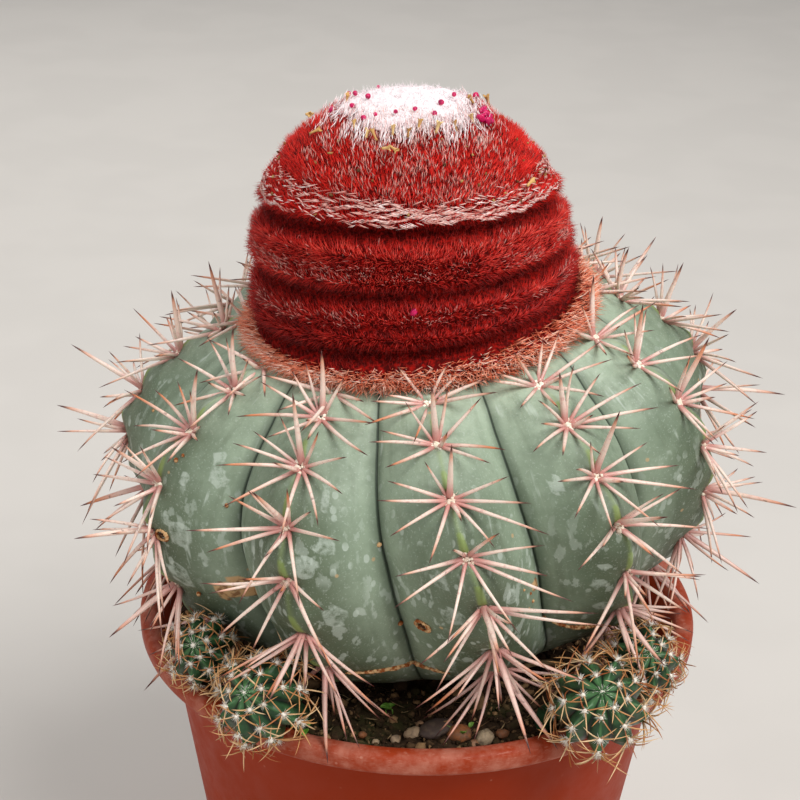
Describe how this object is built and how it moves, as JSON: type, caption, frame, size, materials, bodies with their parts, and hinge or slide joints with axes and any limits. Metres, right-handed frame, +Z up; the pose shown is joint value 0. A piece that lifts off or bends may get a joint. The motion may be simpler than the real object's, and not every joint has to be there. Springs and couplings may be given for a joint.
{
  "type": "potted cactus",
  "caption": "Ribbed globe cactus with long pale spines, a red bristly cap with a white woolly crown, and small offsets, rooted in soil in a tapered plastic pot.",
  "frame": {"origin": "centre of the pot's underside, which stands on the surface below", "axes": "+Z up, -Y towards the side that shows best"},
  "size_m": [0.1667, 0.167, 0.2344],
  "materials": {
    "pot": "matt terracotta-coloured plastic with lime marks",
    "soil": "dark crumbly potting soil with pebbles",
    "skin": "glaucous grey-green skin with a waxy bloom",
    "bristles": "dense crimson bristles in bands",
    "wool": "white plant wool with magenta fruit tips",
    "offset_skin": "dark green satin skin"
  },
  "bodies": {
    "root": {"pot": "pot", "soil": "soil", "cactus_body": "skin", "cephalium": "bristles", "crown_wool": "wool", "offset_left_upper": "offset_skin", "offset_left_lower": "offset_skin", "offset_right_front": "offset_skin", "offset_right_upper": "offset_skin"}
  },
  "joints": []
}
